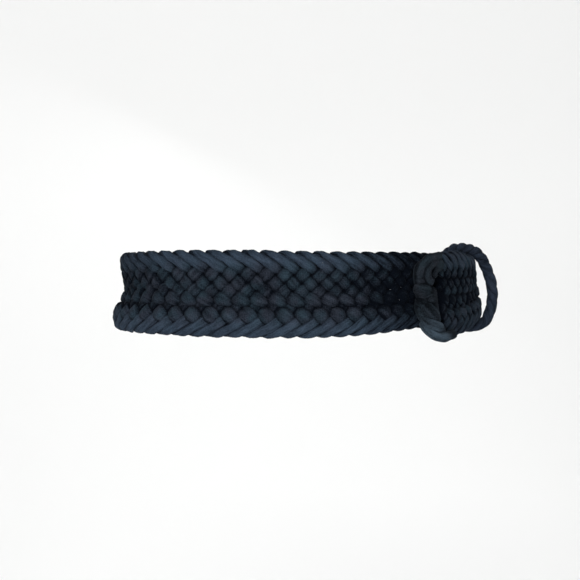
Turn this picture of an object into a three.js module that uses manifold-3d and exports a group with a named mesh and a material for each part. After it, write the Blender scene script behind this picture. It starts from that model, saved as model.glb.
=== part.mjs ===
// Rope belt: one wide flat braid of soft cord, closed round the waist with its ends overlapping
// at the front right. The end underneath carries a twisted rope eye. The end on top is the tongue:
// it comes round the right side, passes out through the eye and ends in a bulky turned knot.
// Millimetres, Z up, X to the right, -Y to the front. The origin is on the waist's axis, at the
// braid's mid height.
import * as THREE from 'three';
import { mergeVertices } from 'three/addons/utils/BufferGeometryUtils.js';
import Module from 'manifold-3d';

// Waist, measured to the middle of the braid's thickness
const WAIST_HALF_WIDTH = 124.5;
const WAIST_HALF_DEPTH = 97;
const CORNER_DEPTH = 1.5; // how much fuller than an ellipse the plan is between its axes

// Braid
const BAND_WIDTH = 65.5;
const BAND_THICKNESS = 10;
const PITCH = 13.37; // the longest run from one crossing to the next along a row
const VALLEY_DEPTH = 1.7; // from a strand's crown down to the corner between four strands
const NOTCH_DEPTH = 1.6; // of the scallops along both edges
const TURN_CROWN = 0.68; // share of half the thickness where a strand turns at an edge
const TURN_VALLEY = 0.55; // the same between two turns
const TURN_SHOULDER = 0.62; // where that is measured, from the outermost row to the edge
const FLARE = 8.5; // how far the lower part stands out from the middle where it flares most
const LAYER_GAP = 0.9; // between the two ends of the band where they lie on each other

// Rope eye
const ROPE_DIAMETER = 8.8;
const ROPE_LAY_LENGTH = 31; // length of one full turn of the plies
const ROPE_PLIES = 3;
const PLY_RELIEF = 0.6; // from the crown of a ply down to the middle of its height
const ROPE_SIDES = 12;
const ROPE_RINGS = 11; // in one turn of the plies
const EYE_LENGTH = 61.8; // from the band's end to the middle of the rope at the far side
const EYE_HEIGHT = 59.2; // between the middles of the rope's upper and lower run
const EYE_RISE = 5; // of the eye's middle above the braid's mid height
const EYE_HEADING = THREE.MathUtils.degToRad(44); // from +X towards +Y
const PASS_CLEARANCE = 1.3; // between the rope and each edge of the tongue

// End knot
const KNOT_LENGTH = 33;
const KNOT_HEIGHT = 63;
const KNOT_DEPTH = 21;
const KNOT_DROP = 3.5; // of the knot's middle below the braid's mid height
const KNOT_CORD = 10; // diameter of one turned cord
const KNOT_LEAN = THREE.MathUtils.degToRad(7); // of its lower end away from the waist
const KNOT_CORD_SIDES = 10;
const KNOT_CORD_RINGS = 2.4; // in a length of one cord diameter
const CORD_TIP = 0.45; // share of a cord's radius left at its rounded tip
const TONGUE_SEAT = 6; // how far the tongue reaches into the knot
const KNOT_ON_COVERED_END = 60; // degrees of the covered end that the knot may touch
const KNOT_ON_TONGUE = 20; // degrees of the tongue that the knot may touch

const CLEARANCE = 0.3; // between two pieces that touch
const ROOM_LEVELS = 9; // points across the band where it is cut out of the knot

// Steps for measuring along curves
const COURSE_STEP = 0.25; // degrees
const HEADING_STEP = 0.5; // degrees
const SLOPE_STEP = 0.01; // share of the width
const WELD = 1e-4;

// The band's course from the covered end, round the front, left, back and right, to the tongue.
// at: degrees round the waist from +X by way of the front
// width, rise: shares of the band's width; rise is the middle of the band above mid height
// pitch: share of the full pitch
// pinch: how far the band is drawn in to the width and height that pass the eye
// layer: share of one layer's thickness further out; out: share of the way out to the eye
// flare: share of the full flare across the braid
// lean: share of the same length by which the lower edge stands further out than the upper edge
const COURSE = [
  { at: 24, width: 0.77, rise: 0.055, pitch: 0.7, pinch: 0, layer: 0, out: 0, flare: 0.2, lean: 0.3 },
  { at: 45, width: 0.83, rise: 0.045, pitch: 0.72, pinch: 0, layer: 0, out: 0, flare: 0.34, lean: 0.22 },
  { at: 75, width: 0.915, rise: 0, pitch: 0.865, pinch: 0, layer: 0, out: 0, flare: 0.5, lean: 0.05 },
  { at: 110, width: 0.94, rise: 0.008, pitch: 0.972, pinch: 0, layer: 0, out: 0, flare: 0.55, lean: 0 },
  { at: 180, width: 0.89, rise: 0.03, pitch: 0.97, pinch: 0, layer: 0, out: 0, flare: 1, lean: 0 },
  { at: 250, width: 0.96, rise: 0.01, pitch: 0.93, pinch: 0, layer: 0, out: 0, flare: 0.7, lean: 0 },
  { at: 305, width: 0.96, rise: 0.01, pitch: 0.93, pinch: 0, layer: 0, out: 0.03, flare: 0.6, lean: 0.05 },
  { at: 335, width: 0.95, rise: 0.02, pitch: 0.9, pinch: 0.35, layer: 0, out: 0.6, flare: 0.4, lean: 0.3 },
  { at: 354, width: 0.93, rise: 0.03, pitch: 0.78, pinch: 0.95, layer: 0, out: 1.1, flare: 0.2, lean: 0.55 },
  { at: 366, width: 0.92, rise: 0.03, pitch: 0.7, pinch: 1, layer: 0.1, out: 0.96, flare: 0.18, lean: 0.55 },
  { at: 377, width: 0.93, rise: 0.02, pitch: 0.66, pinch: 0.45, layer: 0.58, out: 0.5, flare: 0.2, lean: 0.42 },
  { at: 388, width: 0.95, rise: 0.015, pitch: 0.66, pinch: 0, layer: 0.98, out: 0.06, flare: 0.23, lean: 0.29 },
  { at: 399, width: 0.92, rise: 0.005, pitch: 0.66, pinch: 0, layer: 1, out: 0, flare: 0.3, lean: 0.24 },
];
const COURSE_START = COURSE[0].at;
const COURSE_END = COURSE[COURSE.length - 1].at;
const CROSSING_AT = 367; // where the tongue passes through the eye
const CROSSING_SHARE = 0.545; // of the eye's length, from the band's end

// The braid's hollow shape across, seen on a cut: out is a share of the flare, at: a share of the
// width above the middle
const PROFILE = [
  { at: -0.5, out: 0.62 },
  { at: -0.42, out: 0.92 },
  { at: -0.33, out: 1 },
  { at: -0.24, out: 0.8 },
  { at: -0.1, out: 0.2 },
  { at: 0.02, out: 0 },
  { at: 0.2, out: 0.16 },
  { at: 0.42, out: 0.42 },
  { at: 0.5, out: 0.44 },
];

// The crossing rows, from the upper edge down, as seen from outside with travel to the left
// at: share of the width below the upper edge; lag: how far the row lies behind that edge, in half
// pitches; top: which way the strand on top runs; crown: how high it stands, as a share of half the
// thickness
const ROWS = [
  { at: 0.085, lag: 0.5, top: '\\', crown: 0.94 },
  { at: 0.174, lag: 0.9, top: '\\', crown: 0.96 },
  { at: 0.268, lag: 1.15, top: '/', crown: 0.93 },
  { at: 0.366, lag: 1.2, top: '\\', crown: 0.96 },
  { at: 0.459, lag: 1.2, top: '/', crown: 0.95 },
  { at: 0.564, lag: 1.55, top: '\\', crown: 1 },
  { at: 0.655, lag: 2.1, top: '/', crown: 0.82 },
  { at: 0.743, lag: 2.4, top: '\\', crown: 1 },
  { at: 0.829, lag: 2.2, top: '/', crown: 0.94 },
  { at: 0.915, lag: 2, top: '/', crown: 0.93 },
];
const CROSSING_ROWS = ROWS.length; // the braid has one strand more
const LOWER_TURN_LAG = 1.35; // how far the turns at the lower edge lie behind, in half pitches
const SQUARE_END_RUN = 6; // half pitches over which the rows draw level with a square end

// The middle line of the rope eye from its upper root to its lower root
// out: share of the eye's length; up: share of half the eye's height from the eye's middle
const EYE_OUTLINE = [
  { out: 0.13, up: 0.9 },
  { out: 0.38, up: 1 },
  { out: 0.7, up: 0.87 },
  { out: 0.915, up: 0.38 },
  { out: 1, up: -0.12 },
  { out: 0.965, up: -0.56 },
  { out: 0.83, up: -0.9 },
  { out: 0.6, up: -1 },
  { out: 0.34, up: -0.98 },
  { out: 0.14, up: -0.86 },
];
const ROOT_RUN = 0.05; // share of the eye's length that leaves the band straight

// The turned cords of the knot, as shares of its length, height and depth from its middle
// along: towards the free end; up; out: away from the waist
const KNOT_CORDS = {
  upperTurn: [
    { along: -0.35, up: 0.43, out: 0.31 },
    { along: -0.04, up: 0.42, out: 0.3 },
    { along: 0.26, up: 0.4, out: 0.23 },
    { along: 0.4, up: 0.33, out: 0.11 },
    { along: 0.36, up: 0.25, out: 0.16 },
    { along: 0.13, up: 0.24, out: 0.23 },
  ],
  middleBump: [
    { along: -0.23, up: 0.12, out: 0.21 },
    { along: 0.09, up: 0.11, out: 0.18 },
    { along: 0.37, up: 0.09, out: 0.08 },
    { along: 0.41, up: 0.06, out: -0.06 },
    { along: 0.27, up: 0.02, out: -0.2 },
  ],
  innerTuck: [
    { along: -0.28, up: -0.02, out: 0.18 },
    { along: 0.02, up: 0.01, out: 0.18 },
    { along: 0.23, up: -0.01, out: 0.13 },
    { along: 0.23, up: -0.08, out: -0.03 },
  ],
  leftSide: [
    { along: 0.21, up: 0.21, out: -0.03 },
    { along: 0.34, up: 0.09, out: -0.15 },
    { along: 0.34, up: -0.04, out: -0.13 },
    { along: 0.31, up: -0.15, out: -0.12 },
    { along: 0.24, up: -0.23, out: -0.11 },
  ],
  tiltedOval: [
    { along: 0.27, up: -0.07, out: -0.1 },
    { along: 0.26, up: -0.14, out: 0.17 },
    { along: 0.1, up: -0.21, out: 0.25 },
    { along: -0.11, up: -0.27, out: 0.22 },
  ],
  longOval: [
    { along: 0.32, up: -0.21, out: -0.15 },
    { along: 0.26, up: -0.29, out: 0.11 },
    { along: 0.05, up: -0.35, out: 0.21 },
    { along: -0.22, up: -0.39, out: 0.21 },
  ],
  lowerTurn: [
    { along: 0.21, up: -0.24, out: -0.13 },
    { along: 0.19, up: -0.36, out: 0.06 },
    { along: 0.05, up: -0.43, out: 0.19 },
    { along: -0.19, up: -0.41, out: 0.24 },
    { along: -0.42, up: -0.38, out: 0.27 },
  ],
  waistSide: [
    { along: -0.3, up: 0.36, out: -0.12 },
    { along: 0.2, up: 0.34, out: -0.14 },
    { along: 0.32, up: 0.1, out: -0.14 },
    { along: 0.26, up: -0.2, out: -0.14 },
    { along: -0.04, up: -0.38, out: -0.12 },
    { along: -0.34, up: -0.36, out: -0.1 },
  ],
};
const KNOT_CORE = { along: 0.4, up: 0.42, out: 0.32 };

const UP = new THREE.Vector3(0, 0, 1);
const lerp = THREE.MathUtils.lerp;

// A point of the waist's plan and the direction out of it
function planAt(degrees) {
  const turn = THREE.MathUtils.degToRad(degrees);
  const [c, s] = [Math.cos(turn), Math.sin(turn)];
  const x = (WAIST_HALF_WIDTH + CORNER_DEPTH) * c - CORNER_DEPTH * Math.cos(3 * turn);
  const y = -(WAIST_HALF_DEPTH + CORNER_DEPTH) * s - CORNER_DEPTH * Math.sin(3 * turn);
  const out = new THREE.Vector3(WAIST_HALF_DEPTH * c, -WAIST_HALF_WIDTH * s, 0);
  return { point: new THREE.Vector3(x, y, 0), out: out.normalize() };
}

// The middle of the band's covered end, and the direction in which the eye leaves it
const coveredEnd = planAt(COURSE_START);
const eyeDirection = new THREE.Vector3(Math.cos(EYE_HEADING), Math.sin(EYE_HEADING), 0);

// How far outside the waist's plan the tongue passes through the eye
const crossing = coveredEnd.point.clone().addScaledVector(eyeDirection, EYE_LENGTH * CROSSING_SHARE);
const crossingPlan = planAt(CROSSING_AT);
const SWING_OUT = crossing.clone().sub(crossingPlan.point).dot(crossingPlan.out);
const PASSING_WIDTH = EYE_HEIGHT - ROPE_DIAMETER - 2 * PASS_CLEARANCE;

// A table's columns at any place, on smooth curves through its rows
function readTable(table, place) {
  const last = table.length - 2;
  const next = table.findIndex((row) => row.at > place);
  const i = next < 0 ? last : Math.max(next - 1, 0);
  const rows = [table[Math.max(i - 1, 0)], table[i], table[i + 1], table[Math.min(i + 2, last + 1)]];
  const span = rows[2].at - rows[1].at;
  const t = (place - rows[1].at) / span;
  const t2 = t * t;
  const t3 = t2 * t;
  const result = {};
  for (const column of Object.keys(table[0])) {
    const [a, b, c, d] = rows.map((row) => row[column]);
    const leave = ((c - a) / (rows[2].at - rows[0].at)) * span;
    const arrive = ((d - b) / (rows[3].at - rows[1].at)) * span;
    const start = (2 * t3 - 3 * t2 + 1) * b + (t3 - 2 * t2 + t) * leave;
    result[column] = start + (3 * t2 - 2 * t3) * c + (t3 - t2) * arrive;
  }
  return result;
}

// The band's size and place at any place of its course
function courseAt(degrees) {
  const row = readTable(COURSE, degrees);
  return {
    width: lerp(row.width * BAND_WIDTH, PASSING_WIDTH, row.pinch),
    pitch: row.pitch * PITCH,
    rise: lerp(row.rise * BAND_WIDTH, EYE_RISE, row.pinch),
    lift: row.layer * (BAND_THICKNESS + LAYER_GAP) + row.out * SWING_OUT,
    flare: row.flare * FLARE,
    lean: row.lean * FLARE,
  };
}

// The middle of the band's thickness at mid height
function pathAt(degrees) {
  const plan = planAt(degrees);
  return plan.point.addScaledVector(plan.out, courseAt(degrees).lift);
}

// The frame of a cut across the band: its middle, the way on along the band, and outwards
function cutAt(degrees) {
  const middle = pathAt(degrees);
  const onward = pathAt(degrees + HEADING_STEP).sub(pathAt(degrees - HEADING_STEP)).normalize();
  const out = new THREE.Vector3().crossVectors(onward, UP).negate();
  return { middle, onward, out, course: courseAt(degrees) };
}

// A point of the band: across is the height above the band's middle, proud is the distance
// outwards from the middle of its thickness
function bandPoint(cut, across, proud) {
  const { width, rise, flare, lean } = cut.course;
  const outAt = (place) => flare * readTable(PROFILE, place).out - lean * place;
  const share = across / width;
  const change = outAt(share + SLOPE_STEP) - outAt(share - SLOPE_STEP);
  const slope = change / (2 * SLOPE_STEP * width);
  const normal = proud / Math.hypot(1, slope);
  return cut.middle
    .clone()
    .addScaledVector(cut.out, outAt(share) + normal)
    .addScaledVector(UP, rise + across - normal * slope);
}

// Places of the cuts, half a pitch apart
function cutPlaces() {
  const table = [{ at: COURSE_START, halfPitches: 0 }];
  let before = pathAt(COURSE_START);
  for (let at = COURSE_START + COURSE_STEP; at <= COURSE_END; at += COURSE_STEP) {
    const here = pathAt(at);
    const halfPitch = courseAt(at).pitch / 2;
    const halfPitches = table[table.length - 1].halfPitches + here.distanceTo(before) / halfPitch;
    table.push({ at, halfPitches });
    before = here;
  }
  const total = table[table.length - 1].halfPitches;
  const count = Math.round(total);
  const places = [];
  let row = 1;
  for (let i = 0; i <= count; i++) {
    const wanted = (i * total) / count;
    while (row < table.length - 1 && table[row].halfPitches < wanted) row++;
    const [a, b] = [table[row - 1], table[row]];
    places.push(lerp(a.at, b.at, (wanted - a.halfPitches) / (b.halfPitches - a.halfPitches)));
  }
  return places;
}

// A closed body through rings of points. Every ring has the same even number of points and runs
// round so that the way onward crossed with it points out. turned says which way a face is split.
function closedSkin(rings, turned = () => false) {
  const size = rings[0].length;
  const positions = rings.flat().flatMap((point) => point.toArray());
  const faces = [];
  for (let i = 0; i < rings.length - 1; i++) {
    for (let k = 0; k < size; k++) {
      const a = i * size + k;
      const b = i * size + ((k + 1) % size);
      const c = a + size;
      const d = b + size;
      if (turned(i, k)) faces.push(a, d, b, a, c, d);
      else faces.push(a, c, b, b, c, d);
    }
  }
  const end = (rings.length - 1) * size;
  const half = size / 2;
  const cap = (p, q, r) => {
    faces.push(p, q, r);
    faces.push(end + p, end + r, end + q);
  };
  cap(0, 1, size - 1);
  cap(half - 1, half, half + 1);
  for (let k = 1; k < half - 1; k++) {
    cap(k, k + 1, size - k);
    cap(k + 1, size - k - 1, size - k);
  }
  const geometry = new THREE.BufferGeometry();
  geometry.setAttribute('position', new THREE.Float32BufferAttribute(positions, 3));
  geometry.setIndex(faces);
  return geometry;
}

// Height of a crossing row above the band's middle
function rowAcross(width, row) {
  return width * (0.5 - ROWS[row - 1].at);
}

// One cut across the braid as a ring: upper turn, outer face downwards, lower turn, inner face
// upwards. Row 0 and the row after the last are the strands' turns at the edges. Strands are
// crowned where the cut's number and the row's number agree. behind gives the cut at a lag.
function braidRing(behind, number) {
  const half = BAND_THICKNESS / 2;
  const edge = (side) => {
    const row = side > 0 ? 0 : CROSSING_ROWS + 1;
    const cut = behind(side > 0 ? 0 : LOWER_TURN_LAG);
    const width = cut.course.width;
    const notch = (number + row) % 2 === 0 ? 0 : NOTCH_DEPTH;
    const across = side * (width / 2 - notch);
    const inner = rowAcross(width, side > 0 ? 1 : CROSSING_ROWS);
    const shoulder = lerp(inner, across, TURN_SHOULDER);
    const proud = half * (notch ? TURN_VALLEY : TURN_CROWN);
    return {
      apex: bandPoint(cut, across, 0),
      out: bandPoint(cut, shoulder, proud),
      in: bandPoint(cut, shoulder, -proud),
    };
  };
  const face = (side) =>
    ROWS.map((row, index) => {
      const cut = behind(row.lag);
      const crowned = (number + index + 1) % 2 === 0;
      const proud = half * row.crown - (crowned ? 0 : VALLEY_DEPTH);
      return bandPoint(cut, rowAcross(cut.course.width, index + 1), side * proud);
    });
  const upper = edge(1);
  const lower = edge(-1);
  const outside = [upper.apex, upper.out, ...face(1), lower.out];
  const inside = [lower.apex, lower.in, ...face(-1).reverse(), upper.in];
  return [...outside, ...inside];
}

// Which way a face of the braid is split: along a strand that stays on top over both rows,
// otherwise along the crease between two strands
function braidSplit(number, place) {
  const ringSize = 2 * CROSSING_ROWS + 6;
  const outside = place <= CROSSING_ROWS + 2;
  const step = outside ? place : ringSize - 1 - place;
  const row = Math.min(Math.max(step - 1, 0), CROSSING_ROWS);
  const falling = (number + row) % 2 === 0; // the crowned corners of this face go down with travel
  const along = falling ? '/' : '\\';
  const shown = (r) => {
    const top = ROWS[Math.min(Math.max(r, 1), CROSSING_ROWS) - 1].top;
    if (outside) return top;
    return top === '/' ? '\\' : '/';
  };
  const ridge = shown(row) === along && shown(row + 1) === along;
  const downwards = falling === ridge;
  return outside ? downwards : !downwards;
}

function braidRings() {
  const places = cutPlaces();
  const last = places.length - 1;
  return places.map((_, number) => {
    const share = Math.min(1, number / SQUARE_END_RUN, (last - number) / SQUARE_END_RUN);
    const behind = (lag) => {
      const place = number - lag * share;
      const before = Math.min(Math.floor(place), last - 1);
      return cutAt(lerp(places[before], places[before + 1], place - before));
    };
    return braidRing(behind, number);
  });
}

function makeBand() {
  return closedSkin(braidRings(), braidSplit);
}

// A round or lobed tube along a curve, with rounded ends where they are asked for
function cordSkin(curve, tube) {
  const { radius, sides, spacing, lobes = 0, relief = 0, lay = Infinity, roundEnds = false } = tube;
  const length = curve.getLength();
  const steps = Math.max(4, Math.round(length / spacing));
  const frames = curve.computeFrenetFrames(steps, false);
  const rings = [];
  for (let i = 0; i <= steps; i++) {
    const middle = curve.getPointAt(i / steps);
    const fromEnd = (Math.min(i, steps - i) * length) / steps;
    const inset = roundEnds && fromEnd < radius ? 1 - fromEnd / radius : 0;
    const size = radius * Math.max(CORD_TIP, Math.sqrt(1 - inset * inset));
    const twist = ((i / steps) * length * 2 * Math.PI) / lay;
    const ring = [];
    for (let k = 0; k < sides; k++) {
      const turn = (k / sides) * 2 * Math.PI;
      const reach = size - relief + relief * Math.cos(lobes * turn);
      const point = middle.clone();
      point.addScaledVector(frames.normals[i], reach * Math.cos(turn + twist));
      point.addScaledVector(frames.binormals[i], -reach * Math.sin(turn + twist));
      ring.push(point);
    }
    rings.push(ring);
  }
  return closedSkin(rings);
}

// The middle line of the rope eye. Both roots stand square on the band's covered end.
function eyeCurve() {
  const cut = cutAt(COURSE_START);
  const backward = cut.onward.clone().negate();
  const rootAcross = cut.course.width / 2 - ROPE_DIAMETER / 2 - PLY_RELIEF;
  const root = (side) => {
    const foot = bandPoint(cut, side * rootAcross, 0).addScaledVector(backward, CLEARANCE);
    return [foot, foot.clone().addScaledVector(backward, ROOT_RUN * EYE_LENGTH)];
  };
  const [upperFoot, upperRun] = root(1);
  const [lowerFoot, lowerRun] = root(-1);
  const shape = EYE_OUTLINE.map(({ out, up }) =>
    cut.middle
      .clone()
      .addScaledVector(eyeDirection, out * EYE_LENGTH)
      .setZ(EYE_RISE + (up * EYE_HEIGHT) / 2),
  );
  return new THREE.CatmullRomCurve3([upperFoot, upperRun, ...shape, lowerRun, lowerFoot]);
}

function makeEye() {
  const tube = { radius: ROPE_DIAMETER / 2, sides: ROPE_SIDES, spacing: ROPE_LAY_LENGTH / ROPE_RINGS };
  const twist = { lobes: ROPE_PLIES, relief: PLY_RELIEF, lay: ROPE_LAY_LENGTH };
  return cordSkin(eyeCurve(), { ...tube, ...twist });
}

// Joins and cuts closed bodies
const wasm = await Module();
wasm.setup();

function toSolid(geometry) {
  const bare = geometry.clone();
  bare.deleteAttribute('normal');
  bare.deleteAttribute('uv');
  const merged = mergeVertices(bare, WELD);
  const vertProperties = new Float32Array(merged.attributes.position.array);
  const triVerts = new Uint32Array(merged.index.array);
  return new wasm.Manifold(new wasm.Mesh({ numProp: 3, vertProperties, triVerts }));
}

function fromSolid(solid) {
  const mesh = solid.getMesh();
  const geometry = new THREE.BufferGeometry();
  geometry.setAttribute('position', new THREE.BufferAttribute(mesh.vertProperties, 3));
  geometry.setIndex(new THREE.BufferAttribute(mesh.triVerts, 1));
  return geometry;
}

// The largest closed surface of a solid, which leaves out hollows shut in between its cords
function outermost(solid) {
  return solid.decompose().reduce((best, shell) => (shell.volume() > best.volume() ? shell : best));
}

// The space that a stretch of the band takes up, grown by the clearance on every side
function bandRoom(from, to) {
  const proud = BAND_THICKNESS / 2 + CLEARANCE;
  const stretch = [from, ...cutPlaces().filter((at) => at > from && at < to), to];
  const shift = (ring, at, length) => {
    const step = cutAt(at).onward.multiplyScalar(length);
    return ring.map((point) => point.clone().add(step));
  };
  const levels = Array.from({ length: ROOM_LEVELS }, (_, i) => 0.5 - i / (ROOM_LEVELS - 1));
  const rings = stretch.map((at) => {
    const cut = cutAt(at);
    const width = cut.course.width + 2 * CLEARANCE;
    const outer = levels.map((level) => bandPoint(cut, level * width, proud));
    const inner = levels.map((level) => bandPoint(cut, level * width, -proud));
    return [...outer, ...inner.reverse()];
  });
  const before = shift(rings[0], from, -CLEARANCE);
  const after = shift(rings[rings.length - 1], to, CLEARANCE);
  return closedSkin([before, ...rings, after]);
}

// The knot's own frame: it carries on straight from the tongue and rests on the band below
function knotFrame() {
  const cut = cutAt(COURSE_END);
  const tilt = UP.clone().multiplyScalar(Math.cos(KNOT_LEAN));
  tilt.addScaledVector(cut.out, -Math.sin(KNOT_LEAN));
  const out = new THREE.Vector3().crossVectors(tilt, cut.onward).normalize();
  const middle = cut.middle
    .clone()
    .addScaledVector(cut.onward, KNOT_LENGTH / 2 - TONGUE_SEAT)
    .addScaledVector(out, (KNOT_DEPTH - BAND_THICKNESS) / 2)
    .addScaledVector(tilt, -KNOT_DROP);
  return { middle, along: cut.onward, up: tilt, out };
}

function makeKnot() {
  const frame = knotFrame();
  const place = ({ along, up, out }) =>
    frame.middle
      .clone()
      .addScaledVector(frame.along, along * KNOT_LENGTH)
      .addScaledVector(frame.up, up * KNOT_HEIGHT)
      .addScaledVector(frame.out, out * KNOT_DEPTH);
  const core = new THREE.SphereGeometry(1, 14, 10);
  const axes = new THREE.Matrix4().makeBasis(frame.up, frame.along, frame.out);
  axes.setPosition(frame.middle);
  core.scale(KNOT_CORE.up * KNOT_HEIGHT, KNOT_CORE.along * KNOT_LENGTH, KNOT_CORE.out * KNOT_DEPTH);
  core.applyMatrix4(axes);
  const tube = {
    radius: KNOT_CORD / 2,
    sides: KNOT_CORD_SIDES,
    spacing: KNOT_CORD / KNOT_CORD_RINGS,
    roundEnds: true,
  };
  let solid = toSolid(core);
  for (const points of Object.values(KNOT_CORDS)) {
    const curve = new THREE.CatmullRomCurve3(points.map(place));
    solid = solid.add(toSolid(cordSkin(curve, tube)));
  }
  solid = outermost(solid);
  solid = solid.subtract(toSolid(bandRoom(COURSE_START, COURSE_START + KNOT_ON_COVERED_END)));
  solid = solid.subtract(toSolid(bandRoom(COURSE_END - KNOT_ON_TONGUE, COURSE_END)));
  return fromSolid(outermost(solid));
}

function sewn(name, geometry, color) {
  geometry.computeVertexNormals();
  const material = new THREE.MeshStandardMaterial({ color, roughness: 0.92, metalness: 0 });
  const mesh = new THREE.Mesh(geometry, material);
  mesh.name = name;
  return mesh;
}

const belt = new THREE.Group();
belt.add(sewn('braided_band', makeBand(), 0x1b222d));
belt.add(sewn('closure_loop', makeEye(), 0x29303c));
belt.add(sewn('end_knot', makeKnot(), 0x222831));

export default belt;
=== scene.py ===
import math

import bpy
import numpy as np
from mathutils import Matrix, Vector


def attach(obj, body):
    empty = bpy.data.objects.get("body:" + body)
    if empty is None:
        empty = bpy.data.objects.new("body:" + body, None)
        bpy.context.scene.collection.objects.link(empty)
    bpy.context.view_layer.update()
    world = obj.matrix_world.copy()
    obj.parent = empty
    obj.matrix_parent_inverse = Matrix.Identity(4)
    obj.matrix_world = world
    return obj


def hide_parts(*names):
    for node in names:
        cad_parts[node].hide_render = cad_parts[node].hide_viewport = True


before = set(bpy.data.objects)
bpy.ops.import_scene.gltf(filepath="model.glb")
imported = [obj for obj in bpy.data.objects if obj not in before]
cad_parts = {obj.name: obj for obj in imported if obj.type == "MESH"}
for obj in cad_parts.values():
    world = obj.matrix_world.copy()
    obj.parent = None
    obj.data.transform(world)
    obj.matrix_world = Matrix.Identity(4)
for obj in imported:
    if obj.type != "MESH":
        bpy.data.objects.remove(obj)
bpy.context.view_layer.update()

MM = 0.001

# Camera at the photo's viewing angle
CAMERA_AT = (0.0, -943.0, 3.0)
CAMERA_LENS = 74.55
SENSOR_WIDTH = 36
PHOTO_MIDDLE = 290  # pixels from the photo's left and upper edges
PHOTO_FOCUS = 1201  # the lens in the photo's pixels

# Waist and braid, as in the CAD part
WAIST_HALF_WIDTH = 124.5
WAIST_HALF_DEPTH = 97.0
CORNER_DEPTH = 1.5
BAND_WIDTH = 65.5
BAND_THICKNESS = 10.0
PITCH = 13.37
FLARE = 8.5
LAYER_GAP = 0.9
ROPE_DIAMETER = 8.8
ROPE_LAY = 31.0
PLY_RELIEF = 0.6
EYE_LENGTH = 61.8
EYE_HEIGHT = 59.2
EYE_RISE = 5.0
EYE_HEADING = math.radians(44)
PASS_CLEARANCE = 1.3
KNOT_LENGTH = 33.0
KNOT_HEIGHT = 63.0
KNOT_DEPTH = 21.0
KNOT_DROP = 3.5
KNOT_LEAN = math.radians(7)
TONGUE_SEAT = 6.0

# at, width, rise, pitch, pinch, layer, swing, flare, lean: the columns of the band's course
COURSE = (
    (24, 0.77, 0.055, 0.7, 0, 0, 0, 0.2, 0.3),
    (45, 0.83, 0.045, 0.72, 0, 0, 0, 0.34, 0.22),
    (75, 0.915, 0, 0.865, 0, 0, 0, 0.5, 0.05),
    (110, 0.94, 0.008, 0.972, 0, 0, 0, 0.55, 0),
    (180, 0.89, 0.03, 0.97, 0, 0, 0, 1, 0),
    (250, 0.96, 0.01, 0.93, 0, 0, 0, 0.7, 0),
    (305, 0.96, 0.01, 0.93, 0, 0, 0.03, 0.6, 0.05),
    (335, 0.95, 0.02, 0.9, 0.35, 0, 0.6, 0.4, 0.3),
    (354, 0.93, 0.03, 0.78, 0.95, 0, 1.1, 0.2, 0.55),
    (366, 0.92, 0.03, 0.7, 1, 0.1, 0.96, 0.18, 0.55),
    (377, 0.93, 0.02, 0.66, 0.45, 0.58, 0.5, 0.2, 0.42),
    (388, 0.95, 0.015, 0.66, 0, 0.98, 0.06, 0.23, 0.29),
    (399, 0.92, 0.005, 0.66, 0, 1, 0, 0.3, 0.24),
)
PROFILE = (
    (-0.5, 0.62), (-0.42, 0.92), (-0.33, 1), (-0.24, 0.8), (-0.1, 0.2),
    (0.02, 0), (0.2, 0.16), (0.42, 0.42), (0.5, 0.44),
)
COURSE_START = COURSE[0][0]
COURSE_END = COURSE[-1][0]
CROSSING_AT = 367
CROSSING_SHARE = 0.545

# For each crossing row from the upper edge down: its share of the width below that edge, whether
# the strand going down with travel is outermost there, how high the outermost strand is crowned,
# how far it swells sideways, and how far the row lies behind the upper edge in half pitches
ROWS = (
    (0.092, False, 0.94, 1.04, 0.7), (0.176, False, 0.97, 1.04, 1.0),
    (0.272, True, 1.0, 1.1, 1.25), (0.374, False, 1.0, 1.1, 1.2),
    (0.47, True, 0.98, 1.1, 1.1), (0.582, False, 1.12, 1.4, 1.47),
    (0.662, True, 0.74, 1.0, 2.0), (0.76, False, 1.12, 1.36, 2.3),
    (0.838, True, 0.97, 1.06, 2.3), (0.914, True, 0.94, 1.06, 1.85),
)
UPPER_TURN_LAG = 0.17
LOWER_TURN_LAG = 1.0
PATTERN_AHEAD = 0.2  # of the braid's pattern, in half pitches
LAST = len(ROWS) + 1  # the row of the lower turn
PERIOD = 2 * LAST
STRANDS = LAST

# One strand: a soft cord, flatter than it is wide
STRAND_HALF_WIDTH = 4.05
STRAND_HALF_THICKNESS = 2.75
STRAND_SIDES = 22
STRAND_STEP = 0.15  # half pitches between two rings
STRAND_PLEATS = 9
TURN_INSET = 2.7  # from the edge to the strand's middle where it turns
ROLL_SPAN = 1.15  # half pitches before and after a turn over which the flat side rolls over
TONGUE_START = 364  # degrees, where the braid is out on top
TONGUE_BLEND = 8

# For degrees of the course: how much painted shade darkens the upper, middle and lower strands
SHADE = (
    (24, 0.9, 0.9, 0.65), (54, 0.8, 0.85, 0.6), (64, 0.35, 0.45, 0.2), (76, 0, 0.1, 0),
    (130, 0, 0.08, 0), (150, 0.3, 0.25, -0.12), (172, 0.6, 0.45, -0.15), (200, 0.2, 0.2, 0),
    (340, 0.1, 0.1, 0.1), (366, 0.25, 0.25, 0.5), (399, 0.25, 0.3, 0.6),
)


# Tables and the band's course

def table(rows):
    return np.array(rows, dtype=float).T


COURSE_T = table(COURSE)
PROFILE_T = table(PROFILE)
SHADE_T = table(SHADE)


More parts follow.
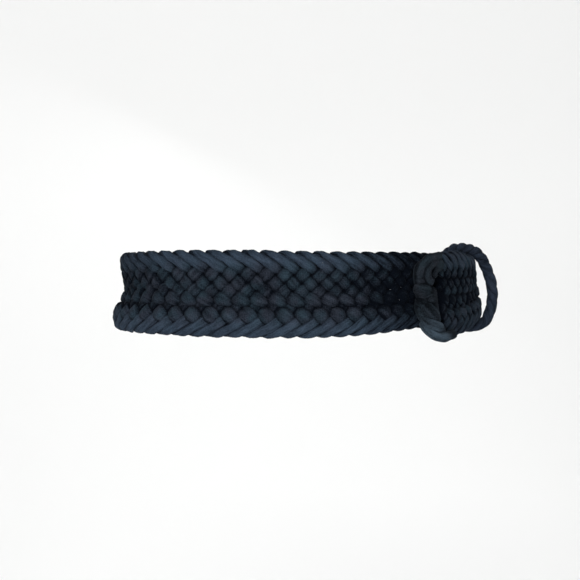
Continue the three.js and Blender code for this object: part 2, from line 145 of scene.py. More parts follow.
def read(columns, which, place):
    """One column of a table at a place, as a smooth curve through its rows."""
    at, col = columns[0], columns[which]
    place = np.asarray(place, dtype=float)
    i = np.clip(np.searchsorted(at, place, side="right") - 1, 0, len(at) - 2)
    before = np.maximum(i - 1, 0)
    after = np.minimum(i + 2, len(at) - 1)
    span = at[i + 1] - at[i]
    t = (place - at[i]) / span
    leave = (col[i + 1] - col[before]) / (at[i + 1] - at[before]) * span
    arrive = (col[after] - col[i]) / (at[after] - at[i]) * span
    t2, t3 = t * t, t * t * t
    start = (2 * t3 - 3 * t2 + 1) * col[i] + (t3 - 2 * t2 + t) * leave
    return start + (3 * t2 - 2 * t3) * col[i + 1] + (t3 - t2) * arrive


def unit(v):
    return v / np.linalg.norm(v, axis=-1, keepdims=True)


def run_along(points):
    """Length along a line of points, at each of them."""
    return np.concatenate([[0], np.cumsum(np.linalg.norm(np.diff(points, axis=0), axis=1))])


def plan_at(degrees):
    """The braid's inner layer seen from above, and the way outward there."""
    turn = np.radians(np.asarray(degrees, dtype=float))
    c, s = np.cos(turn), np.sin(turn)
    x = (WAIST_HALF_WIDTH + CORNER_DEPTH) * c - CORNER_DEPTH * np.cos(3 * turn)
    y = -(WAIST_HALF_DEPTH + CORNER_DEPTH) * s - CORNER_DEPTH * np.sin(3 * turn)
    point = np.stack([x, y, np.zeros_like(x)], axis=-1)
    out = np.stack([WAIST_HALF_DEPTH * c, -WAIST_HALF_WIDTH * s, np.zeros_like(x)], axis=-1)
    return point, unit(out)


EYE_DIRECTION = np.array([math.cos(EYE_HEADING), math.sin(EYE_HEADING), 0.0])
crossing = plan_at(COURSE_START)[0] + EYE_DIRECTION * EYE_LENGTH * CROSSING_SHARE
crossing_plan = plan_at(CROSSING_AT)
SWING_OUT = float(np.dot(crossing - crossing_plan[0], crossing_plan[1]))
PASSING_WIDTH = EYE_HEIGHT - ROPE_DIAMETER - 2 * PASS_CLEARANCE


def course_at(degrees):
    width, rise, pitch, pinch, layer, swing, flare, lean = (
        read(COURSE_T, i, degrees) for i in range(1, 9)
    )
    return {
        "width": width * BAND_WIDTH + pinch * (PASSING_WIDTH - width * BAND_WIDTH),
        "pitch": pitch * PITCH,
        "rise": rise * BAND_WIDTH + pinch * (EYE_RISE - rise * BAND_WIDTH),
        "lift": layer * (BAND_THICKNESS + LAYER_GAP) + swing * SWING_OUT,
        "flare": flare * FLARE,
        "lean": lean * FLARE,
    }


def path_at(degrees):
    point, out = plan_at(degrees)
    return point + out * course_at(degrees)["lift"][..., None]


def cut_at(degrees):
    degrees = np.asarray(degrees, dtype=float)
    onward = unit(path_at(degrees + 0.5) - path_at(degrees - 0.5))
    out = np.stack([-onward[..., 1], onward[..., 0], np.zeros_like(degrees)], axis=-1)
    return {"middle": path_at(degrees), "onward": onward, "out": out, **course_at(degrees)}


UP = np.array([0.0, 0.0, 1.0])


def band_point(cut, across, proud):
    """A point of the band, and the band's outward and upward directions there."""
    def out_at(place):
        return cut["flare"] * read(PROFILE_T, 1, place) - cut["lean"] * place

    share = across / cut["width"]
    step = 0.01
    slope = (out_at(share + step) - out_at(share - step)) / (2 * step * cut["width"])
    normal = unit(cut["out"] - UP * slope[..., None])
    upward = unit(cut["out"] * slope[..., None] + UP)
    base = cut["middle"] + cut["out"] * out_at(share)[..., None]
    base = base + UP * (cut["rise"] + across)[..., None]
    return base + normal * proud[..., None], normal, upward


def half_pitch_places():
    """Degrees at each half pitch of the braid."""
    at = np.arange(COURSE_START, COURSE_END + 1e-6, 0.25)
    points = path_at(at)
    runs = np.linalg.norm(np.diff(points, axis=0), axis=1)
    halves = np.concatenate([[0.0], np.cumsum(2 * runs / course_at(at)["pitch"][1:])])
    count = round(float(halves[-1]))
    return np.interp(np.arange(count + 1) * halves[-1] / count, halves, at)


PLACES = half_pitch_places()
HALF_PITCHES = len(PLACES) - 1


def degrees_at(u):
    return np.interp(u, np.arange(HALF_PITCHES + 1), PLACES)


def smooth(t):
    t = np.clip(t, 0, 1)
    return t * t * (3 - 2 * t)


def waves(count, scale, seed):
    """A smooth random wave along a length: a function of place, about -1 to 1."""
    r = np.random.default_rng(seed)
    rate = r.uniform(0.6, 1.6, count) / scale
    phase = r.uniform(0, 2 * math.pi, count)
    size = r.uniform(0.5, 1.0, count)
    size /= size.sum()

    def wave(x):
        return sum(size[k] * np.sin(2 * math.pi * rate[k] * x + phase[k]) for k in range(count))

    return wave


# Meshes

MM_TO_CM = 0.1
CROWN_POWER = 0.6
CROWN_MEAN = 0.75
CREASES = 5
FACE_RELIEF = 0.7  # of the relief, on a cord's flat side


def tube_mesh(name, rings, along, girth, tones, blue, material):
    """A closed tube through rings[n, sides, 3] in millimetres, with a fabric map in centimetres.

    tones carries each point's painted light and shade; blue, how much of the blue crown colour
    each ring has.
    """
    n, sides = rings.shape[:2]
    verts = (rings.reshape(-1, 3) * MM).tolist()
    idx = np.arange(n * sides).reshape(n, sides)
    nxt = np.roll(idx, -1, axis=1)
    quads = np.stack([idx[:-1], nxt[:-1], nxt[1:], idx[1:]], axis=-1).reshape(-1, 4)
    faces = [*quads.tolist(), idx[0][::-1].tolist(), idx[-1].tolist()]
    mesh = bpy.data.meshes.new(name)
    mesh.from_pydata(verts, [], faces)
    uv = mesh.uv_layers.new(name="fabric")
    step = girth / sides
    u0 = np.broadcast_to(np.arange(sides) * step, (n - 1, sides))
    u1 = u0 + step
    v0 = np.broadcast_to(along[:-1, None], (n - 1, sides))
    v1 = np.broadcast_to(along[1:, None], (n - 1, sides))
    loops = np.stack([u0, v0, u1, v0, u1, v1, u0, v1], axis=-1).reshape(-1) * MM_TO_CM
    full = np.zeros(len(mesh.loops) * 2)
    full[: loops.size] = loops
    uv.data.foreach_set("uv", full.astype(np.float32))
    blues = np.broadcast_to(np.reshape(blue, (-1, 1)), (n, sides))
    for title, values in (("tone", tones), ("blue", blues)):
        attribute = mesh.attributes.new(name=title, type="FLOAT", domain="POINT")
        attribute.data.foreach_set("value", values.reshape(-1).astype(np.float32))
    mesh.polygons.foreach_set("use_smooth", np.ones(len(mesh.polygons), dtype=bool))
    mesh.update()
    obj = bpy.data.objects.new(name, mesh)
    bpy.context.scene.collection.objects.link(obj)
    obj.data.materials.append(material)
    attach(obj, "root")
    return obj


def crowned(wave):
    """A round crown at each peak of a wave and a sharp fold between two, about 0 on the whole."""
    return np.abs(wave) ** CROWN_POWER - CROWN_MEAN


def crowned_tone(tone, sides, depth):
    """Tone of each point of a tube, with painted shade: paler along its crown than down its sides.
    """
    angle = np.arange(sides) / sides * 2 * math.pi
    depth = np.broadcast_to(depth, tone.shape)
    return tone[:, None] + depth[:, None] * crowned(np.sin(angle))[None, :]


def sweep(
    points, normals, half_width, half_thickness, sides, seed,
    power, crease, fold=0.22, pleats=0, pleat_depth=0.0,
):
    """Rings of a soft flattened cord along points, the length at each ring, and its girth.

    normals point out of its flat side. power rounds the ring: 2 is an ellipse, more is squarer.
    crease, fold and pleat_depth are in millimetres.
    """
    tangent = unit(np.gradient(points, axis=0))
    normal = normals - tangent * np.sum(normals * tangent, axis=1, keepdims=True)
    normal = unit(normal)
    side = np.cross(tangent, normal)
    length = run_along(points)
    angle = np.arange(sides) / sides * 2 * math.pi
    c, s = np.cos(angle), np.sin(angle)
    shape_c = np.sign(c) * np.abs(c) ** (2 / power)
    shape_s = np.sign(s) * np.abs(s) ** (2 / power)
    # lengthwise creases and soft lumps
    r = np.random.default_rng(seed)
    relief = np.zeros((len(points), sides))
    for _ in range(CREASES):
        lobes = r.integers(2, 7)
        rate = 1 / r.uniform(14, 40)
        drift = r.uniform(-1, 1) * 2 * math.pi / r.uniform(40, 90)
        wave = np.sin(lobes * angle[None, :] + drift * length[:, None] + r.uniform(0, 6.28))
        gate = 0.5 + 0.5 * np.sin(2 * math.pi * rate * length + r.uniform(0, 6.28))
        relief += wave * gate[:, None] * crease * 0.5
    if pleats:
        turn = angle[None, :] + (0.5 * waves(3, 22.0, seed + 3)(length))[:, None]
        relief += pleat_depth * crowned(np.cos(pleats / 2 * turn))
    lump = waves(6, 13.0, seed + 7)(length)
    relief += (lump * fold)[:, None]
    ww = np.asarray(half_width)[:, None] + relief
    tt = np.asarray(half_thickness)[:, None] + relief * FACE_RELIEF
    ring = (
        points[:, None, :]
        + side[:, None, :] * (ww * shape_c[None, :])[..., None]
        + normal[:, None, :] * (tt * shape_s[None, :])[..., None]
    )
    girth = 2 * math.pi * math.sqrt((np.mean(half_width) ** 2 + np.mean(half_thickness) ** 2) / 2)
    return ring, length, girth


# Materials

RIB_SPACING = 0.13  # centimetres between two ribs of a cord's knitted sheath
RIB_LEAN = 0.9  # of the ribs, along the cord for one step round it
LINT_COLOUR = (0.35, 0.36, 0.37)


def cord_material(name, dark, blue, teal, mauve, seed=0.0, gather_rate=6.5):
    """Soft knitted cord: dark where shade is painted in a fold, blue on crowns painted as lit,
    teal and mauve in random patches on the others.
    """
    m = bpy.data.materials.new(name)
    m.use_nodes = True
    nt = m.node_tree
    nodes, links = nt.nodes, nt.links
    nodes.clear()

    def add(kind, **values):
        node = nodes.new(kind)
        for key, value in values.items():
            setattr(node, key, value)
        return node

    def math_node(operation, a, b=None):
        node = add("ShaderNodeMath", operation=operation)
        for i, value in enumerate((a, b)):
            if value is None:
                continue
            if isinstance(value, (int, float)):
                node.inputs[i].default_value = value
            else:
                links.new(value, node.inputs[i])
        return node.outputs[0]

    def added(total, value, share):
        return math_node("ADD", total, math_node("MULTIPLY", value, share))

    def noise(scale, detail, vector):
        node = add("ShaderNodeTexNoise")
        node.inputs["Scale"].default_value = scale
        node.inputs["Detail"].default_value = detail
        links.new(vector, node.inputs["Vector"])
        return node.outputs[0]

    def on_cord(round_rate, along_rate, depth):
        """Where a point lies round and along the cord, for a noise drawn out along it."""
        node = add("ShaderNodeCombineXYZ")
        links.new(math_node("MULTIPLY", u, round_rate), node.inputs[0])
        links.new(math_node("MULTIPLY", v, along_rate), node.inputs[1])
        node.inputs[2].default_value = depth
        return node.outputs[0]

    def blended(factor, first, second):
        node = add("ShaderNodeMix", data_type="RGBA")
        links.new(factor, node.inputs["Factor"])
        for socket, value in ((node.inputs[6], first), (node.inputs[7], second)):
            if isinstance(value, tuple):
                socket.default_value = (*value, 1)
            else:
                links.new(value, socket)
        return node.outputs[2]

    out = add("ShaderNodeOutputMaterial")
    shader = add("ShaderNodeBsdfPrincipled")
    links.new(shader.outputs[0], out.inputs[0])
    shader.inputs["Roughness"].default_value = 0.95
    shader.inputs["Specular IOR Level"].default_value = 0.03
    shader.inputs["Sheen Weight"].default_value = 0.012
    shader.inputs["Sheen Roughness"].default_value = 0.45
    shader.inputs["Sheen Tint"].default_value = (0.55, 0.68, 0.9, 1)

    coords = add("ShaderNodeTexCoord").outputs["Object"]
    uv = add("ShaderNodeUVMap", uv_map="fabric")
    split = add("ShaderNodeSeparateXYZ")
    links.new(uv.outputs[0], split.inputs[0])
    u, v = split.outputs[0], split.outputs[1]  # centimetres round and along the cord

    # knitted sheath: two crossing sets of fine ribs
    rate = 2 * math.pi / RIB_SPACING
    lean = math_node("MULTIPLY", u, RIB_LEAN)
    knit = math_node("MAXIMUM", *(
        math_node("SINE", math_node("MULTIPLY", math_node(way, v, lean), rate))
        for way in ("ADD", "SUBTRACT")
    ))
    fibre = noise(1.0, 3.0, on_cord(26.0, 3.4, seed))
    pleat = noise(1.0, 2.0, on_cord(gather_rate, 1.1, seed + 40.0))
    fuzz = noise(1250.0, 2.0, coords)
    cloud = noise(75.0, 3.0, coords)

    # painted light and shade from the tone attribute: low tone turns the colour dark, high tone to
    # the crown colour
    tone = add("ShaderNodeAttribute", attribute_name="tone")
    mix = math_node("MULTIPLY", tone.outputs["Fac"], 0.7)
    for value, share in ((cloud, 0.5), (fibre, 0.45), (pleat, 1.1), (fuzz, 0.95)):
        mix = added(mix, math_node("SUBTRACT", value, 0.5), share)
    mix = added(mix, knit, 0.1)
    mix = math_node("ADD", mix, 0.1)
    clamp = add("ShaderNodeClamp")
    links.new(mix, clamp.inputs[0])
    spread = add("ShaderNodeMapRange")
    spread.inputs["From Min"].default_value = 0.38
    spread.inputs["From Max"].default_value = 0.62
    links.new(noise(85.0, 2.0, coords), spread.inputs[0])
    # crowns painted as lit take the blue colour
    lit_blue = add("ShaderNodeAttribute", attribute_name="blue")
    crown = blended(lit_blue.outputs["Fac"], blended(spread.outputs[0], teal, mauve), blue)
    colour = blended(clamp.outputs[0], dark, crown)

    # a few pale lint specks
    speck = add("ShaderNodeTexVoronoi", feature="F1")
    speck.inputs["Scale"].default_value = 210.0
    links.new(coords, speck.inputs["Vector"])
    near = math_node("LESS_THAN", speck.outputs["Distance"], 0.055)
    rare = math_node("GREATER_THAN", noise(30.0, 2.0, coords), 0.66)
    lint = math_node("MULTIPLY", math_node("MULTIPLY", near, rare), 0.6)
    links.new(blended(lint, colour, LINT_COLOUR), shader.inputs["Base Color"])

    height = math_node("MULTIPLY", knit, 0.35)
    for value, share in ((fibre, 1.3), (pleat, 4.0), (fuzz, 0.9)):
        height = added(height, value, share)
    bump = add("ShaderNodeBump")
    bump.inputs["Strength"].default_value = 0.55
    bump.inputs["Distance"].default_value = 0.0003
    links.new(height, bump.inputs["Height"])
    links.new(bump.outputs[0], shader.inputs["Normal"])
    return m


BRAID_CORD = cord_material(
    "braid_cord", (0.001, 0.0017, 0.0034), (0.0285, 0.0425, 0.064),
    (0.0195, 0.0325, 0.044), (0.0245, 0.0295, 0.041),
)
# darker than the braid's colours: painted shade on the rope eye
ROPE_CORD = cord_material(
    "twisted_rope", (0.002, 0.003, 0.0055), (0.0235, 0.0325, 0.051),
    (0.02, 0.03, 0.04), (0.026, 0.03, 0.043), seed=3.0,
)
# its blue, paler than the braid's, is the painted light at the knot's lower end
KNOT_MATERIAL = cord_material(
    "knot_cord", (0.0014, 0.002, 0.003), (0.038, 0.055, 0.073),
    (0.018, 0.0275, 0.0355), (0.0225, 0.0265, 0.0345), seed=7.0, gather_rate=2.6,
)


def plain_material(name, colour):
    m = bpy.data.materials.new(name)
    m.use_nodes = True
    shader = m.node_tree.nodes["Principled BSDF"]
    shader.inputs["Base Color"].default_value = (*colour, 1)
    shader.inputs["Roughness"].default_value = 0.9
    shader.inputs["Specular IOR Level"].default_value = 0.1
    return m


# The braid

def strand_lattice():
    """For each phase of a strand: its share of the width below the upper edge, and its lag."""
    every = np.arange(-2, PERIOD + 3)
    phase = np.mod(every, PERIOD)
    row = np.where(phase <= LAST, phase, PERIOD - phase)
    turn = TURN_INSET / BAND_WIDTH
    below = np.array([turn, *(r[0] for r in ROWS), 1 - turn])
    lag = np.array([UPPER_TURN_LAG, *(r[4] for r in ROWS), LOWER_TURN_LAG])
    return np.stack([every.astype(float), below[row], lag[row]])


def crossing_levels():
    """For each whole phase: how far out the strand's middle lies, and how much it swells."""
    inner = -(BAND_THICKNESS / 2 * 0.95 - STRAND_HALF_THICKNESS)
    ways = []
    for going_down in (True, False):
        level, wide = np.zeros(LAST + 1), np.ones(LAST + 1)
        for j, (_, down_on_top, height, wider, _) in enumerate(ROWS, start=1):
            if down_on_top == going_down:
                level[j] = height * BAND_THICKNESS / 2 - STRAND_HALF_THICKNESS
                wide[j] = wider
            else:
                level[j] = inner
        ways.append((level, wide))
    down, up = ways
    return [np.concatenate([down[k], up[k][:LAST][::-1]]) for k in (0, 1)]


LATTICE = strand_lattice()
LEVEL_AT, WIDE_AT = crossing_levels()


def flat_side_roll(phase):
    """The flat side rolls over at the lower edge and back at the upper edge, in radians."""
    def past(turn):
        return smooth((phase - turn + ROLL_SPAN) / (2 * ROLL_SPAN))

    roll = np.where(
        phase <= LAST / 2, past(0), np.where(phase <= 3 * LAST / 2, 1 - past(LAST), past(PERIOD))
    )
    return roll * math.pi


def strand(number):
    u = np.arange(-3, HALF_PITCHES + 3, STRAND_STEP)
    phase = np.mod(u - PATTERN_AHEAD - 2 * number, PERIOD)
    place = u - read(LATTICE, 2, phase)
    kept = (place >= 0) & (place <= HALF_PITCHES)
    u, phase, place = u[kept], phase[kept], place[kept]
    degrees = degrees_at(place)
    cut = cut_at(degrees)
    share = cut["width"] / BAND_WIDTH
    below = read(LATTICE, 1, phase)
    climb = (read(LATTICE, 1, phase + 0.05) - read(LATTICE, 1, phase - 0.05)) / 0.1
    across = BAND_WIDTH * (0.5 - below)

    # outer or inner at each crossing
    lowest = np.floor(phase).astype(int)
    following = (lowest + 1) % (PERIOD + 1)
    t = phase - lowest
    plateau = smooth((t - 0.5) * 1.1 + 0.5)
    proud = LEVEL_AT[lowest] + (LEVEL_AT[following] - LEVEL_AT[lowest]) * plateau
    wide = WIDE_AT[lowest] + (WIDE_AT[following] - WIDE_AT[lowest]) * smooth(t)
    theta = flat_side_roll(phase)

    seed = 100 + number
    across = across * share + 0.28 * waves(5, 9.0, seed)(u)
    # the lower edge is scalloped, fullest just before a strand turns
    past_turn = phase - LAST
    across = across - 0.4 * np.exp(-(((past_turn + 0.45) / 0.35) ** 2))
    across = across + 0.8 * np.exp(-(((past_turn - 0.15) / 0.3) ** 2))
    proud = proud + 0.22 * waves(5, 5.0, seed + 20)(u)
    # the tongue's small braid is lumpier, and sunk along two rows
    tongue = smooth((degrees - TONGUE_START) / TONGUE_BLEND)
    sunk = np.exp(-(((below - 0.33) / 0.05) ** 2)) + np.exp(-(((below - 0.55) / 0.05) ** 2))
    proud = proud + tongue * (0.75 * waves(6, 2.6, seed + 80)(u) - 1.1 * sunk)
    points, normal, upward = band_point(cut, across, proud)
    facing = normal * np.cos(theta)[:, None] + upward * np.sin(theta)[:, None]

    # neighbours lie side by side, so a strand is as wide as its slope leaves room for
    edge = np.abs(across) / (cut["width"] / 2)
    inner = 1 - smooth((edge - 0.62) / 0.2)
    onward = np.gradient(place, u)
    slant = np.arctan2(np.abs(climb) * cut["width"], onward * cut["pitch"] / 2)
    room = 0.5 * cut["pitch"] * np.sin(slant) * 1.05
    narrow = cut["pitch"] / PITCH
    widest = STRAND_HALF_WIDTH * narrow * (1 + 0.2 * inner)
    half_width = np.clip(room * 1.08, 3.3 * narrow, widest)
    half_width = half_width * wide * (1 + 0.035 * waves(4, 6.0, seed + 40)(u))
    half_thickness = STRAND_HALF_THICKNESS * (1 + 0.05 * waves(4, 6.0, seed + 60)(u))
    # in the middle each crossing swells into a pillow
    swell = np.cos(2 * math.pi * phase) * inner
    half_width = half_width * (1 - 0.03 * inner + 0.06 * swell)
    half_thickness = half_thickness * (1 + 0.05 * swell)
    rings, along, girth = sweep(
        points, facing, half_width, half_thickness, STRAND_SIDES, seed,
        power=2.6, crease=0.3, pleats=STRAND_PLEATS, pleat_depth=0.22,
    )

    # painted light and shade: the crowns at both edges are painted paler, as where light falls on
    # them, and the middle darker, as where shade falls
    lit_blue = smooth((edge - 0.45) / 0.4)
    # painted shade by place along the band, from SHADE
    upper, middle, lower = (np.interp(degrees, SHADE_T[0], SHADE_T[k]) for k in (1, 2, 3))
    side = np.where(across > 0, upper, lower)
    shade = middle + (side - middle) * smooth((edge - 0.2) / 0.6)
    # painted shade along the tongue's two sunk rows; the rest of the tongue a little paler
    tone = -0.06 + 0.6 * lit_blue - shade + tongue * (0.15 - 0.6 * sunk)
    # painted shade where a strand lies deep under its neighbours, paler where it stands proud
    tone = tone + (0.2 + 0.45 * inner) * np.clip(proud / 2.2 - 0.65, -1.6, 0.4)
    # painted shade down each strand's sides, paler along its crown
    tone = crowned_tone(tone, STRAND_SIDES, 0.85 + 0.7 * inner + 0.4 * tongue)
    name = f"braid_strand_{number + 1:02d}"
    # the edges painted as lit are also painted blue, less so on the tongue
    blue = 0.8 * lit_blue * (1 - 0.5 * tongue)
    obj = tube_mesh(name, rings, along, girth, tone, blue, BRAID_CORD)
    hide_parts("braided_band")


WEB_REACH = 0.43  # share of the width, each way from the middle
WEB_PROUD = 0.25
WEB_COLUMNS = 13
WEB_GIRTH = 110.0
WEB_TONE = -0.4


def painted_shade_web():
    """The painted shade between the strands: a thin dark web at the middle of the braid."""
    u = np.arange(0.2, HALF_PITCHES - 0.2, 0.5)
    cut = cut_at(degrees_at(u))
    shares = np.linspace(WEB_REACH, -WEB_REACH, WEB_COLUMNS)
    rows = []
    for proud, face in ((WEB_PROUD, shares), (-WEB_PROUD, shares[::-1])):
        for share in face:
            point, _, _ = band_point(cut, cut["width"] * share, np.full(len(u), proud))
            rows.append(point)
    rings = np.stack(rows, axis=1)
    along = np.arange(len(u)) * PITCH / 2
    tone = np.full(rings.shape[:2], WEB_TONE)
    obj = tube_mesh("braid_shade_web", rings, along, WEB_GIRTH, tone, 0, BRAID_CORD)
    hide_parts("braided_band")


for n in range(STRANDS):
    strand(n)
painted_shade_web()


# The rope eye

CURVE_STEPS = 24  # between two given points of a curve
FEWEST_STEPS = 8
EYE_SPACING = 0.9  # between two rings
KNOT_SPACING = 0.6


def catmull(points, spacing):
    """A centripetal curve through points, sampled evenly."""
    def between(t, start, end, p, q):
        return (end - t) / (end - start) * p + (t - start) / (end - start) * q

    p = np.asarray(points, dtype=float)
    p = np.vstack([2 * p[0] - p[1], p, 2 * p[-1] - p[-2]])
    samples = []
    for i in range(1, len(p) - 2):
        p0, p1, p2, p3 = p[i - 1 : i + 3]
        t0 = 0.0
        t1 = t0 + np.linalg.norm(p1 - p0) ** 0.5
        t2 = t1 + np.linalg.norm(p2 - p1) ** 0.5
        t3 = t2 + np.linalg.norm(p3 - p2) ** 0.5
        for t in np.linspace(t1, t2, CURVE_STEPS, endpoint=False):
            a1, a2 = between(t, t0, t1, p0, p1), between(t, t1, t2, p1, p2)
            a3 = between(t, t2, t3, p2, p3)
            b1, b2 = between(t, t0, t2, a1, a2), between(t, t1, t3, a2, a3)
            samples.append(between(t, t1, t2, b1, b2))
    samples.append(p[-2])
    samples = np.array(samples)
    run = run_along(samples)
    count = max(FEWEST_STEPS, int(run[-1] / spacing))
    even = np.linspace(0, run[-1], count + 1)
    return np.stack([np.interp(even, run, samples[:, k]) for k in range(3)], axis=1)


def carried(points, start):
    """A normal carried along a curve without twisting."""
    tangent = unit(np.gradient(points, axis=0))
    normal = np.array(start, dtype=float)
    result = []
    for t in tangent:
        normal = normal - t * np.dot(normal, t)
        normal = normal / np.linalg.norm(normal)
        result.append(normal.copy())
    return tangent, np.array(result)


# The eye's middle line from its upper root to its lower root: a share of the eye's length out, and
# a share of half its height up
EYE_OUTLINE = (
    (0.13, 0.9), (0.38, 1), (0.7, 0.87), (0.915, 0.38), (1, -0.12),
    (0.965, -0.56), (0.83, -0.9), (0.6, -1), (0.34, -0.98), (0.14, -0.86),
)
ROOT_RUN = 0.05  # share of the eye's length that leaves the band straight
CLEARANCE = 0.3
PLY_RADIUS = ROPE_DIAMETER * 0.285
PLY_SIDES = 20
PLIES = 3


def eye_middle():
    cut = {k: np.asarray(v) for k, v in cut_at(COURSE_START).items()}
    backward = -cut["onward"]
    root = float(cut["width"]) / 2 - ROPE_DIAMETER / 2 - PLY_RELIEF
    foot = []
    for side in (1, -1):
        p, _, _ = band_point(cut, np.array(side * root), np.array(0.0))
        foot.append(p + backward * CLEARANCE)
    shape = []
    for out, up in EYE_OUTLINE:
        q = cut["middle"] + EYE_DIRECTION * out * EYE_LENGTH
        q = np.array([q[0], q[1], EYE_RISE + up * EYE_HEIGHT / 2])
        shape.append(q)
    run = backward * ROOT_RUN * EYE_LENGTH
    return [foot[0], foot[0] + run, *shape, foot[1] + run, foot[1]]


def rope_eye():
    middle = catmull(eye_middle(), EYE_SPACING)
    tangent, normal = carried(middle, EYE_DIRECTION)
    binormal = np.cross(tangent, normal)
    length = run_along(middle)
    reach = ROPE_DIAMETER / 2 - PLY_RADIUS * 0.95
    for ply in range(PLIES):
        turn = length / ROPE_LAY * 2 * math.pi + ply * 2 * math.pi / PLIES
        turn = turn + 0.18 * waves(4, 30.0, 500)(length)
        away = normal * np.cos(turn)[:, None] - binormal * np.sin(turn)[:, None]
        points = middle + away * reach
        points = points + 0.12 * normal * waves(4, 14.0, 520 + ply)(length)[:, None]
        size = PLY_RADIUS * (1 + 0.05 * waves(5, 12.0, 540 + ply)(length))
        rings, along, girth = sweep(
            points, away, size * 1.12, size * 0.98, PLY_SIDES, 560 + ply,
            power=2.1, crease=0.14, fold=0.2,
        )
        name = f"eye_ply_{ply + 1}"
        # painted shade down each ply's sides, paler along its crown
        tone = crowned_tone(np.full(len(points), 0.45), PLY_SIDES, 0.55)
        obj = tube_mesh(name, rings, along, girth, tone, 0.8, ROPE_CORD)
        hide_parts("closure_loop")


rope_eye()


# The knot

KNOT_CORD_SIDES = 36
KNOT_CORD_PLEATS = 5


def knot_frame(foot, onward):
    """The knot's middle and its ways along the belt, up and outward, where the tongue ends."""
    level = np.array([-onward[1], onward[0], 0.0])
    tilt = UP * math.cos(KNOT_LEAN) - level * math.sin(KNOT_LEAN)
    out = unit(np.cross(tilt, onward))
    middle = (
        foot + onward * (KNOT_LENGTH / 2 - TONGUE_SEAT)
        + out * (KNOT_DEPTH - BAND_THICKNESS) / 2 - tilt * KNOT_DROP
    )
    return middle, onward, tilt, out


def picked(*points):
    """Points picked in the photo, as shares of the knot's size to the hundredth.

    Each is given as pixels across and down the photo, and millimetres behind the waist's axis. The
    shares are taken for a tongue that ends running level round the waist.
    """
    before, foot, after = (
        at + out * (BAND_THICKNESS + LAYER_GAP)
        for at, out in (plan_at(COURSE_END + step) for step in (-0.5, 0.0, 0.5))
    )
    middle, along, up, out = knot_frame(foot, unit(after - before))
    shares = []
    for across, down, behind in points:
        scale = (behind - CAMERA_AT[1]) / PHOTO_FOCUS
        right = CAMERA_AT[0] + (across - PHOTO_MIDDLE) * scale
        high = CAMERA_AT[2] - (down - PHOTO_MIDDLE) * scale
        offset = np.array([right, behind, high]) - middle
        sizes = ((along, KNOT_LENGTH), (up, KNOT_HEIGHT), (out, KNOT_DEPTH))
        shares.append([offset @ way / size for way, size in sizes])
    return np.round(shares, 2).tolist()


# Each cord's radius in millimetres, then its middle line. What shows is picked in the photo. The
# rest is given as shares of the knot's size: along the belt, up and outward
KNOT_CORDS = {
    "outer_fold": (3.2, picked(
        (441, 255.5, -78), (434, 257, -84), (427.5, 260.5, -88.5),
        (423, 266, -89.5), (421, 273, -89.5), (422, 280, -88),
    )),
    "middle_fold": (3, picked(
        (438, 261, -80), (433, 263.5, -85), (429.5, 268, -89.5),
        (428, 274, -90), (429.5, 280, -88.5), (434, 283, -86),
    )),
    "inner_fold": (2.6, picked((437, 267, -81), (434.5, 272, -85), (434.5, 278, -84))),
    "upper_turn": (5, [
        (-0.33, 0.41, 0.08), *picked((434, 267, -80), (429, 273, -82), (430, 280, -81)),
    ]),
    "round_bump": (5.4, picked(
        (418, 289.5, -83), (421.5, 290, -87.5), (425, 290.5, -88), (428.5, 290.5, -84.5),
    )),
    "shaded_fold": (3.8, picked(
        (418.5, 298.5, -84), (422, 302.5, -88), (426.5, 304, -89), (430, 303, -86),
    )),
    "inner_tuck": (3.3, picked((427, 303, -86), (431, 299, -88.5), (435.5, 300, -85.5))),
    "tilted_oval": (4.7, picked(
        (426, 307, -86), (429.5, 310.5, -91.5), (433.5, 314.5, -92), (437.5, 318.5, -88),
    )),
    "long_oval": (3.7, picked(
        (424, 318, -87), (429, 322.5, -92), (435.5, 326, -93), (443, 327.5, -88.5),
    )),
    "lower_turn": (3.5, [
        *picked((423, 320, -87), (428, 329, -91)),
        (0.15, -0.43, 0.16), (-0.1, -0.455, 0.2), (-0.34, -0.435, 0.13), (-0.56, -0.4, 0.06),
    ]),
    "left_side": (4.2, picked(
        (420, 299, -82), (421, 308, -85), (423, 315, -86.5), (427, 321, -86),
    )),
    "core": (5.5, picked((429, 285, -75), (430, 300, -76), (433, 316, -76), (437, 326, -75))),
    "waist_side": (5, [
        (-0.3, 0.36, -0.12), (0.2, 0.34, -0.14), (0.24, 0.1, -0.14),
        (0.12, -0.2, -0.14), (-0.04, -0.38, -0.12), (-0.34, -0.36, -0.1),
    ]),
}


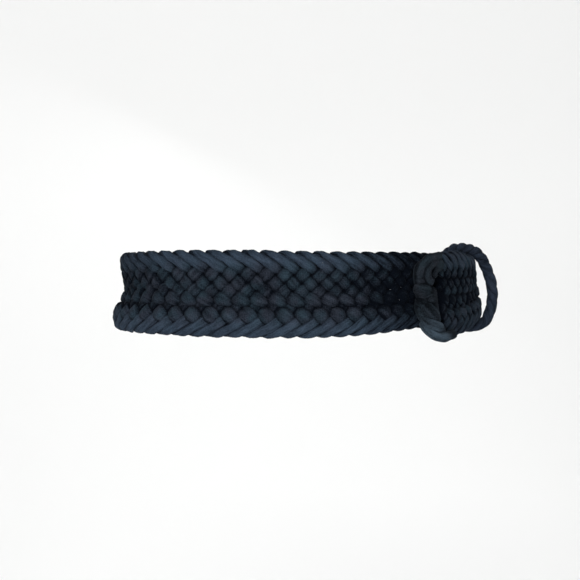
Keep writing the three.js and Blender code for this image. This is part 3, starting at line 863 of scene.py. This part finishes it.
def knot():
    cut = cut_at(COURSE_END)
    middle, onward, tilt, out = knot_frame(cut["middle"], cut["onward"])

    def place(share):
        along, up, outward = share
        return (
            middle + onward * along * KNOT_LENGTH
            + tilt * up * KNOT_HEIGHT + out * outward * KNOT_DEPTH
        )

    for i, (name, (radius, shares)) in enumerate(KNOT_CORDS.items()):
        points = catmull([place(s) for s in shares], KNOT_SPACING)
        _, normal = carried(points, out)
        run = run_along(points)
        # both ends are rounded off
        from_end = np.minimum(run, run[-1] - run)
        inset = np.where(from_end < radius, 1 - from_end / radius, 0)
        size = radius * np.maximum(0.3, np.sqrt(1 - inset**2))
        rings, along, girth = sweep(
            points, normal, size * 1.02, size * 0.96, KNOT_CORD_SIDES, 700 + i,
            power=2.1, crease=0.3, fold=0.35, pleats=KNOT_CORD_PLEATS, pleat_depth=0.08,
        )
        # painted light: paler on top, and palest and bluer at the lower end away from the tongue,
        # where light falls; painted shade down each cord's sides
        up = (points[:, 2] - middle[2]) / KNOT_HEIGHT
        along_knot = (points - middle) @ onward / KNOT_LENGTH
        low = (1 - smooth((up + 0.42) / 0.4)) * smooth((along_knot + 0.4) / 0.35)
        tone = 0.12 + 0.15 * smooth((up - 0.1) / 0.3) + 0.75 * low
        tone = crowned_tone(tone, KNOT_CORD_SIDES, 0.65)
        obj = tube_mesh(f"knot_{name}", rings, along, girth, tone, low, KNOT_MATERIAL)
        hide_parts("end_knot")


knot()


# Stage: a plain pale sweep, soft light and the camera

# Of the backdrop, in millimetres
FLOOR_HEIGHT = -620
FLOOR_FRONT = -2200
BEND_START = 900
BEND_RADIUS = 500
BEND_STEPS = 16
BACKDROP_TOP = 2600
BACKDROP_HALF_WIDTH = 3200

WHITE = (1, 1, 1)
# Name, then place, the point it faces and size in metres, power in watts, and colour
LIGHTS = (
    ("key_softbox", (-0.3, -1.6, 1.0), (0, 0, 0), (1.1, 0.8), 37, (1.0, 0.99, 0.97)),
    ("low_softbox", (-0.1, -1.3, -0.5), (0, 0, 0), (1.5, 0.5), 16, (0.94, 0.97, 1.0)),
    ("back_softbox", (0.3, 1.1, 0.6), (0, 0, 0), (1.2, 0.5), 6, WHITE),
    ("right_softbox", (1.5, 0.7, 0.4), (0, 0, 0), (0.6, 0.6), 3, WHITE),
    ("left_softbox", (-1.5, 0.7, 0.4), (0, 0, 0), (0.6, 0.6), 3, WHITE),
    ("backdrop_wash", (0, 0.2, 1.9), (0, 1.3, 0.2), (2.6, 0.8), 9, WHITE),
)
WORLD_COLOUR = (0.96, 0.98, 1.0)
WORLD_STRENGTH = 0.25


def sweep_backdrop():
    profile = [(FLOOR_FRONT, FLOOR_HEIGHT), (BEND_START, FLOOR_HEIGHT)]
    for k in range(1, BEND_STEPS + 1):
        a = k / BEND_STEPS * math.pi / 2
        y = BEND_START + BEND_RADIUS * math.sin(a)
        profile.append((y, FLOOR_HEIGHT + BEND_RADIUS * (1 - math.cos(a))))
    profile.append((BEND_START + BEND_RADIUS, BACKDROP_TOP))
    verts, faces = [], []
    for y, z in profile:
        verts.append((-BACKDROP_HALF_WIDTH * MM, y * MM, z * MM))
        verts.append((BACKDROP_HALF_WIDTH * MM, y * MM, z * MM))
    for k in range(len(profile) - 1):
        faces.append((2 * k, 2 * k + 1, 2 * k + 3, 2 * k + 2))
    mesh = bpy.data.meshes.new("backdrop")
    mesh.from_pydata(verts, [], faces)
    mesh.polygons.foreach_set("use_smooth", [True] * len(faces))
    obj = bpy.data.objects.new("backdrop", mesh)
    bpy.context.scene.collection.objects.link(obj)
    obj.data.materials.append(plain_material("backdrop_paper", (0.86, 0.86, 0.855)))


def area_light(name, at, target, size, power, colour):
    data = bpy.data.lights.new(name, "AREA")
    data.shape = "RECTANGLE"
    data.size, data.size_y = size
    data.energy = power
    data.color = colour
    obj = bpy.data.objects.new(name, data)
    bpy.context.scene.collection.objects.link(obj)
    obj.location = at
    direction = Vector(target) - Vector(at)
    obj.rotation_euler = direction.to_track_quat("-Z", "Y").to_euler()


sweep_backdrop()
for light in LIGHTS:
    area_light(*light)
world = bpy.data.worlds.new("studio")
bpy.context.scene.world = world
world.use_nodes = True
background = world.node_tree.nodes["Background"]
background.inputs["Color"].default_value = (*WORLD_COLOUR, 1)
background.inputs["Strength"].default_value = WORLD_STRENGTH

camera_data = bpy.data.cameras.new("camera")
camera_data.lens = CAMERA_LENS
camera_data.sensor_width = SENSOR_WIDTH
camera_data.clip_start = 0.01
camera_data.clip_end = 20
camera = bpy.data.objects.new("camera", camera_data)
bpy.context.scene.collection.objects.link(camera)
camera.location = tuple(c * MM for c in CAMERA_AT)
camera.rotation_euler = (math.pi / 2, 0, 0)
bpy.context.scene.camera = camera
bpy.context.scene.view_settings.view_transform = "Standard"
